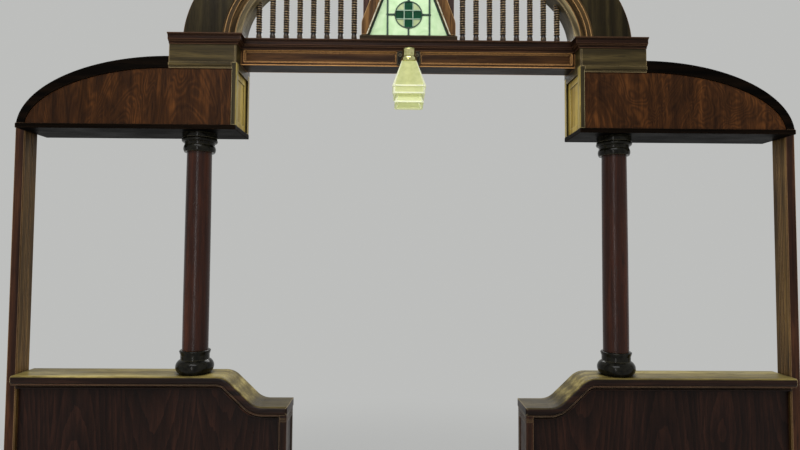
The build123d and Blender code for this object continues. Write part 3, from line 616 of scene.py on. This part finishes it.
def bobbin_outline(x, hand):
    """Heights and radii of one spindle, its beads a little uneven as they leave the chisel."""
    outline = [
        (0.0, block_radius - block_chamfer),
        (block_chamfer, block_radius),
        (block_height - shoulder_height, block_radius),
        (block_height, block_radius - shoulder_depth),
        (block_height + cove_height, neck_radius),
        (block_height + neck_height, neck_radius),
    ]
    foot = block_height + neck_height
    for step in range(swell_steps + 1):
        part = step / swell_steps
        bulge = swell_bulge * math.sin(math.pi * part) ** 0.8
        outline.append((foot + swell_height * part, swell_radius + bulge))
    height = foot + swell_height
    top = under_arch(abs(x) - bead_radius) - spindle_foot + scribed_in
    while height < top:
        tall = bead_pitch * hand.uniform(1 - bead_unlike, 1 + bead_unlike)
        wide = bead_radius - quirk_radius + hand.uniform(-bead_short, 0.0)
        for step in range(1, bead_steps + 1):
            part = step / bead_steps
            outline.append((height + tall * part, quirk_radius + wide * math.sin(math.pi * part) ** 0.5))
        height += tall
    return [(spindle_foot + z, r) for z, r in outline if z < top] + [(spindle_foot + top, quirk_radius)]


def new_piece(name, mesh, finish):
    """A piece that the frame doesn't have, with its finish."""
    piece = bpy.data.objects.new(name, mesh)
    bpy.context.collection.objects.link(piece)
    mesh.materials.append(finish)
    return piece


spindle_wood, shader = start_finish("spindle_mahogany")
rise = node(spindle_wood, "Attribute", {}, attribute_name="rise").outputs["Fac"]
grain = noise(spindle_wood, upright(spindle_wood), 0.3, 220.0, detail=4.0)
uneven = maths(spindle_wood, "MULTIPLY", maths(spindle_wood, "SUBTRACT", grain, 0.5), 0.5)
# Painted highlight and painted shade: bead crests are painted light tan and hollows near black, by how far
# each point stands out.
crest_lit_hollow_shaded = clamped(spindle_wood, "ADD", rise, uneven)
crest_lit_hollow_shaded_colour = stepped(
    spindle_wood,
    crest_lit_hollow_shaded,
    (0.50, (0.0030, 0.0020, 0.0014)),
    (0.78, (0.016, 0.0090, 0.0045)),
    (0.90, (0.085, 0.050, 0.022)),
    (1.0, (0.30, 0.21, 0.105)),
)
surface = {
    "Base Color": crest_lit_hollow_shaded_colour,
    "Roughness": stepped(spindle_wood, grain, (0.3, 0.22), (0.7, 0.40)),
    "Specular IOR Level": 0.35,
    "Normal": bumped(spindle_wood, grain, 0.3, 0.0006),
}
feed(spindle_wood, shader, surface)
turner = random.Random(1887)
for side, name in ((-1, "left"), (1, "right")):
    places = [side * (spindle_first - spindle_pitch * i) for i in range(spindle_count)]
    sticks = [((x, 0.0), bobbin_outline(x, turner)) for x in places]
    mesh = turned_mesh(f"spindles_{name}", sticks, spindle_sides)
    spindles = new_piece(f"bobbin_spindles_{name}", mesh, spindle_wood)
    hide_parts(f"spindles_{name}")
    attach(spindles, "root")


# Frame of the leaded light: a sill rail, two raking stiles that meet in a point and a thin
# upright inside each foot, of mahogany with a pale glazing bead along the glass.
light_foot = 2.267
rake_inner = 0.1325
rake_lean = 0.38
rake_face = 0.0200
strip_wide = 0.0042
strip_proud = 0.0018
strip_foot, strip_top = 0.0004, 0.2795
strip_steps = 8
rake_wood = polished_wood(
    "rake_mahogany",
    upright,
    deep=(0.050, 0.022, 0.0070),
    warm=(0.24, 0.115, 0.032),
    strength=0.4,
    edge_rubbed_and_lit=(0.60, 0.38, 0.17),
    rub_and_lit_width=0.0020,
    rub_and_lit_share=0.9,
    shine=0.08,
)
sill_wood = polished_wood(
    "light_sill_mahogany",
    level,
    deep=(0.010, 0.0062, 0.0030),
    warm=(0.042, 0.026, 0.0115),
    edge_rubbed_and_lit=(0.40, 0.32, 0.18),
    rub_and_lit_width=0.0012,
    shine=0.06,
)
dress(rake_wood, "light_rakes")
dress(sill_wood, "light_sill")
dress(mahogany_upright, "light_stiles")


def glazing_strips(name):
    """Half-round strips planted along the inner edges of both rakes, front and back."""
    corners, faces = [], []
    slope = math.hypot(1.0, rake_lean)
    turns = [math.pi * i / strip_steps for i in range(strip_steps + 1)]
    section = [
        (0.5 * strip_wide * (1 - math.cos(turn)), rake_face + strip_proud * math.sin(turn)) for turn in turns
    ]
    number = len(section)
    for side in (-1, 1):
        for face in (-1, 1):
            first = len(corners)
            for height in (strip_foot, strip_top):
                edge = rake_inner - rake_lean * height
                for over, out in section:
                    corners.append((side * (edge + over * slope), face * out, light_foot + height))
            for i in range(number):
                after = (i + 1) % number
                faces.append((first + i, first + after, first + number + after, first + number + i))
            faces.append([first + i for i in range(number)])
            faces.append([first + number + i for i in reversed(range(number))])
    mesh = bpy.data.meshes.new(name)
    mesh.from_pydata(corners, [], faces)
    return mesh


cream_bead, shader = start_finish("cream_bead")
patch = noise(cream_bead, upright(cream_bead), 1.0, 130.0, detail=4.0)
surface = {
    "Base Color": stepped(cream_bead, patch, (0.35, (0.34, 0.29, 0.18)), (0.6, (0.66, 0.62, 0.47))),
    "Roughness": stepped(cream_bead, patch, (0.3, 0.42), (0.7, 0.6)),
    "Normal": bumped(cream_bead, patch, 0.3, 0.0005),
}
feed(cream_bead, shader, surface)
beads = new_piece("glazing_beads", glazing_strips("glazing_beads"), cream_bead)
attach(beads, "root")


# Leaded glass: opal panes round a roundel of five bottle-green squares and four straw
# quarters, held in lead cames that are soldered where they meet.
roundel_rise = 0.073
roundel_inside = 0.0415
came_face = 0.0044
solder_proud = 0.0013
solder_sides, solder_rings = 14, 4
solder_uneven = (0.86, 1.08)


def old_glass(name, thin, thick, shine):
    """Hand-rolled coloured glass that lets no view through, with streaks and a rippled face."""
    finish, shader = start_finish(name)
    place = upright(finish)
    streak = noise(finish, place, 1.0, 22.0, detail=4.0, distortion=1.4)
    ripple = noise(finish, place, 1.0, 90.0, detail=2.0)
    surface = {
        "Base Color": stepped(finish, streak, (0.3, thick), (0.7, thin)),
        "Roughness": 0.24,
        "IOR": 1.5,
        "Specular IOR Level": shine,
        "Normal": bumped(finish, ripple, 0.3, 0.0008),
    }
    feed(finish, shader, surface)
    return finish


opal_glass = old_glass("opal_glass", (0.69, 0.91, 0.55), (0.53, 0.77, 0.41), 0.3)
green_glass = old_glass("bottle_green_glass", (0.003, 0.072, 0.028), (0.0010, 0.038, 0.014), 0.06)
straw_glass = old_glass("straw_glass", (0.52, 0.62, 0.31), (0.38, 0.47, 0.22), 0.2)
lead, shader = start_finish("lead_came")
place = upright(lead)
grain = noise(lead, place, 1.0, 160.0, detail=3.0)
split = parts(lead, place)
raised = maths(lead, "SUBTRACT", split["Z"], light_foot + roundel_rise)
inside = maths(lead, "LESS_THAN", far_out(lead, joined(lead, split["X"], raised)), roundel_inside)
dark_lead = stepped(lead, grain, (0.35, (0.008, 0.030, 0.017)), (0.7, (0.034, 0.075, 0.048)))
bright_lead = stepped(lead, grain, (0.35, (0.16, 0.26, 0.18)), (0.7, (0.30, 0.42, 0.31)))
surface = {
    "Base Color": mixed(lead, inside, dark_lead, bright_lead),
    "Metallic": 0.35,
    "Roughness": stepped(lead, grain, (0.3, 0.38), (0.7, 0.55)),
    "Normal": bumped(lead, grain, 0.4, 0.0005),
}
feed(lead, shader, surface)
dress(opal_glass, "light_glass")
dress(green_glass, "light_roundel")
dress(straw_glass, "light_quarters")
dress(lead, "light_cames")
joint_spots = (
    # across, height above the light's foot, radius
    (-0.0685, roundel_rise, 0.0046),
    (0.0685, roundel_rise, 0.0048),
    (-0.0455, roundel_rise, 0.0042),
    (0.0455, roundel_rise, 0.0043),
    (0.0, 0.0275, 0.0044),
    (0.0, 0.1185, 0.0042),
    (-0.0685, 0.003, 0.0045),
    (0.0, 0.003, 0.0047),
    (0.0685, 0.003, 0.0044),
)


def solder_mesh(name, hand):
    """Low lumps of solder over the joints of the cames, on both faces."""
    corners, faces = [], []
    for x, height, radius in joint_spots:
        for face in (-1, 1):
            first = len(corners)
            bulge = [hand.uniform(*solder_uneven) for _ in range(solder_sides)]
            for ring in range(solder_rings):
                part = 1 - ring / solder_rings
                out = came_face + solder_proud * math.sqrt(1 - part * part)
                for side in range(solder_sides):
                    angle = 2 * math.pi * side / solder_sides
                    reach = radius * part * bulge[side]
                    across, up = reach * math.cos(angle), reach * math.sin(angle)
                    corners.append((x + across, face * out, light_foot + height + up))
            corners.append((x, face * (came_face + solder_proud), light_foot + height))
            for ring in range(solder_rings - 1):
                for side in range(solder_sides):
                    near = first + ring * solder_sides + side
                    far = first + ring * solder_sides + (side + 1) % solder_sides
                    faces.append((near, far, far + solder_sides, near + solder_sides)[::face])
            last = first + (solder_rings - 1) * solder_sides
            top = first + solder_rings * solder_sides
            for side in range(solder_sides):
                faces.append((last + side, last + (side + 1) % solder_sides, top)[::face])
            faces.append([first + side for side in range(solder_sides)][::-face])
    mesh = bpy.data.meshes.new(name)
    mesh.from_pydata(corners, [], faces)
    mesh.shade_smooth()
    return mesh


solder = new_piece("solder_joints", solder_mesh("solder_joints", random.Random(61)), lead)
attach(solder, "root")


# Lamp on the beam: a moulded back plate of bronze, a brass gallery with a polished cap, and
# a square stepped shade of frosted glass with ground edges round a pearl bulb.
bronze, shader = start_finish("dark_bronze")
cast = noise(bronze, upright(bronze), 1.0, 240.0, detail=3.0)
skin = stepped(bronze, cast, (0.3, (0.0035, 0.0032, 0.0026)), (0.7, (0.012, 0.0100, 0.0074)))
# Pale colour on the arrises: bare metal there, and partly painted highlights.
bare_and_lit = clamped(bronze, "MULTIPLY", worn_and_lit_arris(bronze, 0.0012), 0.8)
surface = {
    "Base Color": mixed(bronze, bare_and_lit, skin, (0.30, 0.25, 0.15)),
    "Metallic": 0.2,
    "Roughness": stepped(bronze, cast, (0.3, 0.32), (0.7, 0.5)),
    "Specular IOR Level": 0.1,
    "Normal": bumped(bronze, cast, 0.3, 0.0004),
}
feed(bronze, shader, surface)
dress(bronze, "lamp_bracket")

brass, shader = start_finish("lacquered_brass")
tarnish = noise(brass, upright(brass), 1.0, 95.0, detail=4.0)
surface = {
    "Base Color": stepped(brass, tarnish, (0.3, (0.52, 0.49, 0.19)), (0.65, (0.78, 0.75, 0.38))),
    "Metallic": 1.0,
    "Roughness": stepped(brass, tarnish, (0.3, 0.18), (0.7, 0.11)),
    "Normal": bumped(brass, tarnish, 0.05, 0.0003),
}
feed(brass, shader, surface)
dress(brass, "lamp_gallery")

# Ground edges, partly painted highlights: the shade's corner facets and three edge lines are painted near
# white.
ground_glint_edges = (2.0640, 2.0430, 2.0175)  # heights of the shade's upper edges
ground_glint_near, ground_glint_far = 0.0015, 0.0030  # from an edge, where its ground line starts to fade and ends
# Painted light: the glass is painted paler toward its mouth, where light falls into the shade.
pale_above, pale_full = 2.075, 2.03  # heights between which the glass gets paler
shade_glass, shader = start_finish("frosted_shade")
place = upright(shade_glass)
frost = noise(shade_glass, place, 1.0, 60.0, detail=5.0)
height = parts(shade_glass, place)["Z"]
milk = stepped(shade_glass, frost, (0.3, (0.42, 0.45, 0.15)), (0.7, (0.57, 0.59, 0.25)))
milk = mixed(shade_glass, carried(shade_glass, height, pale_above, pale_full), milk, (0.72, 0.76, 0.41))
faces = parts(shade_glass, facing(shade_glass))
turned = [maths(shade_glass, "ABSOLUTE", faces[axis]) for axis in "XY"]
ground_and_glint = stepped(shade_glass, maths(shade_glass, "MULTIPLY", *turned), (0.15, 0.0), (0.3, 1.0))
for edge in ground_glint_edges:
    from_edge = maths(shade_glass, "ABSOLUTE", maths(shade_glass, "SUBTRACT", height, edge))
    line = carried(shade_glass, from_edge, ground_glint_far, ground_glint_near)
    ground_and_glint = maths(shade_glass, "MAXIMUM", ground_and_glint, line)
surface = {
    "Base Color": mixed(shade_glass, ground_and_glint, milk, (0.95, 0.96, 0.78)),
    "Roughness": stepped(shade_glass, ground_and_glint, (0.2, 0.42), (0.8, 0.22)),
    "Transmission Weight": 0.35,
    "IOR": 1.5,
    # Painted glow: a faint emission stands for daylight passing through the frosted glass.
    "Emission Color": (0.80, 0.86, 0.42),
    "Emission Strength": 0.1,
    "Normal": bumped(shade_glass, frost, 0.25, 0.0008),
}
feed(shade_glass, shader, surface)
dress(shade_glass, "lamp_shade")

pearl, shader = start_finish("pearl_bulb")
cloudy = noise(pearl, upright(pearl), 1.0, 40.0, detail=3.0)
surface = {
    "Base Color": stepped(pearl, cloudy, (0.3, (0.56, 0.52, 0.38)), (0.7, (0.66, 0.62, 0.48))),
    "Roughness": stepped(pearl, cloudy, (0.3, 0.25), (0.7, 0.4)),
    "Emission Color": (1.0, 0.86, 0.52),
    "Emission Strength": 0.8,
}
feed(pearl, shader, surface)
dress(pearl, "lamp_bulb")


# Screws of the lamp's back plate: two round heads of bronze, their slots left as the last
# turn of the screwdriver left them.
screw_radius = 0.0034
screw_dome = 0.0021
screw_rim = 0.04  # keeps the dome's rim a little off its seat
slot_depth = 0.0009
slot_floor = 0.0003
slot_share = 0.14  # half the slot's width as a share of the radius
screw_steps = (-1.0, -0.8, -0.6, -0.4, -0.16, -0.13, 0.13, 0.16, 0.4, 0.6, 0.8, 1.0)
screw_seats = (
    # middle of the seat, angle of the slot
    ((-0.027, -0.0458, 2.1915), 0.5),
    ((0.027, -0.0458, 2.1915), -0.9),
)


def screw_mesh(name):
    """Slotted domes, each on a net of squares that is bent to a disc."""
    corners, faces = [], []
    number = len(screw_steps)
    for (x, y, z), angle in screw_seats:
        first = len(corners)
        for u in screw_steps:
            for v in screw_steps:
                across = screw_radius * u * math.sqrt(1 - v * v / 2)
                along = screw_radius * v * math.sqrt(1 - u * u / 2)
                spread = (across**2 + along**2) / screw_radius**2
                out = screw_dome * math.sqrt(1 + screw_rim - spread)
                if abs(u) < slot_share:
                    out = max(slot_floor, out - slot_depth)
                right = across * math.cos(angle) - along * math.sin(angle)
                up = across * math.sin(angle) + along * math.cos(angle)
                corners.append((x + right, y - out, z + up))
        for i in range(number - 1):
            for j in range(number - 1):
                near = first + i * number + j
                faces.append((near, near + number, near + number + 1, near + 1))
    mesh = bpy.data.meshes.new(name)
    mesh.from_pydata(corners, [], faces)
    return mesh


screws = new_piece("bracket_screws", screw_mesh("bracket_screws"), bronze)
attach(screws, "root")


# Floor and surroundings of the studio: a plain pale floor that fades into a pale backdrop,
# which polished wood and glass mirror.
backdrop = (0.51, 0.515, 0.505)
floor_radius = 30
floor_sides = 64
fade_start, fade_end = 1.6, 4.2


def seen_directly(finish):
    """1 for what the camera, a reflection or a glass pane sees directly, and 0 for the light itself."""
    ray = node(finish, "LightPath", {}).outputs
    mirrored = clamped(finish, "ADD", ray["Is Glossy Ray"], ray["Is Transmission Ray"])
    return clamped(finish, "ADD", ray["Is Camera Ray"], mirrored)


angles = [2 * math.pi * side / floor_sides for side in range(floor_sides)]
rim = [(floor_radius * math.cos(angle), floor_radius * math.sin(angle), 0.0) for angle in angles]
floor_mesh = bpy.data.meshes.new("studio_floor")
floor_mesh.from_pydata(rim, [], [range(floor_sides)])
floor_paint, shader = start_finish("floor_paint")
feed(
    floor_paint,
    shader,
    {"Base Color": (0.52, 0.525, 0.515), "Roughness": 0.85, "Specular IOR Level": 0.1},
)
reach = far_out(floor_paint, upright(floor_paint))
far = carried(floor_paint, reach, fade_start, fade_end, interpolation_type="SMOOTHSTEP")
faded = clamped(floor_paint, "MULTIPLY", far, seen_directly(floor_paint))
plain = node(floor_paint, "Emission", {"Color": backdrop, "Strength": 1.0}).outputs[0]
blend = node(floor_paint, "MixShader", {0: faded, 1: shader.outputs[0], 2: plain}).outputs[0]
feed(floor_paint, floor_paint.node_tree.nodes["Material Output"], {"Surface": blend})
floor = new_piece("studio_floor", floor_mesh, floor_paint)

studio = bpy.data.worlds.new("studio")
studio.use_nodes = True
bpy.context.scene.world = studio
air = mixed(studio, seen_directly(studio), (0.50, 0.50, 0.50), backdrop)
feed(studio, studio.node_tree.nodes["Background"], {"Color": air, "Strength": 1.0})


# Soft lights of the studio: overhead, at both sides and behind, and one narrow strip for the
# columns' polish to mirror. The side lights aren't mirrored, or plain columns look fluted.
soft_lights = (
    # name, place, aim, width, height, power, mirrored in polish
    ("overhead_soft", (-0.5, -2.7, 4.3), (0.0, 0.0, 1.5), 2.6, 1.4, 62.0, True),
    ("left_soft", (-3.5, -2.0, 2.2), (0.2, 0.0, 1.5), 0.8, 2.4, 25.0, False),
    ("right_soft", (3.5, -2.0, 2.2), (-0.2, 0.0, 1.5), 0.8, 2.4, 23.0, False),
    ("near_strip", (-0.62, -2.7, 1.6), (-0.62, 0.0, 1.6), 0.20, 2.0, 12.0, True),
    ("back_soft", (0.8, 3.0, 4.2), (0.0, 0.0, 1.6), 2.6, 1.6, 66.0, True),
)
for name, place, aim, width, height, power, mirrored in soft_lights:
    lamp = bpy.data.lights.new(name, "AREA")
    lamp.shape, lamp.size, lamp.size_y, lamp.energy = "RECTANGLE", width, height, power
    holder = bpy.data.objects.new(name, lamp)
    holder.location = place
    holder.rotation_euler = (Vector(aim) - Vector(place)).to_track_quat("-Z", "Y").to_euler()
    holder.visible_camera = False
    holder.visible_glossy = mirrored
    bpy.context.collection.objects.link(holder)


# Camera near the coach's centre line, a step into the saloon, where the photograph was taken:
# a little left of the middle, at the height of a standing person's eyes.
camera_place = (-0.0438, -1.7666, 1.575)
camera_heading, camera_tilt, camera_roll = -0.66, 92.52, 0.37
camera = bpy.data.objects.new("camera", bpy.data.cameras.new("camera"))
camera.data.sensor_width, camera.data.lens = 36.0, 24.75
heading = Matrix.Rotation(math.radians(camera_heading), 4, "Z")
tilt = Matrix.Rotation(math.radians(camera_tilt), 4, "X")
roll = Matrix.Rotation(math.radians(camera_roll), 4, "Z")
camera.matrix_world = Matrix.Translation(camera_place) @ heading @ tilt @ roll
bpy.context.collection.objects.link(camera)
bpy.context.scene.camera = camera
bpy.context.scene.view_settings.view_transform = "Standard"
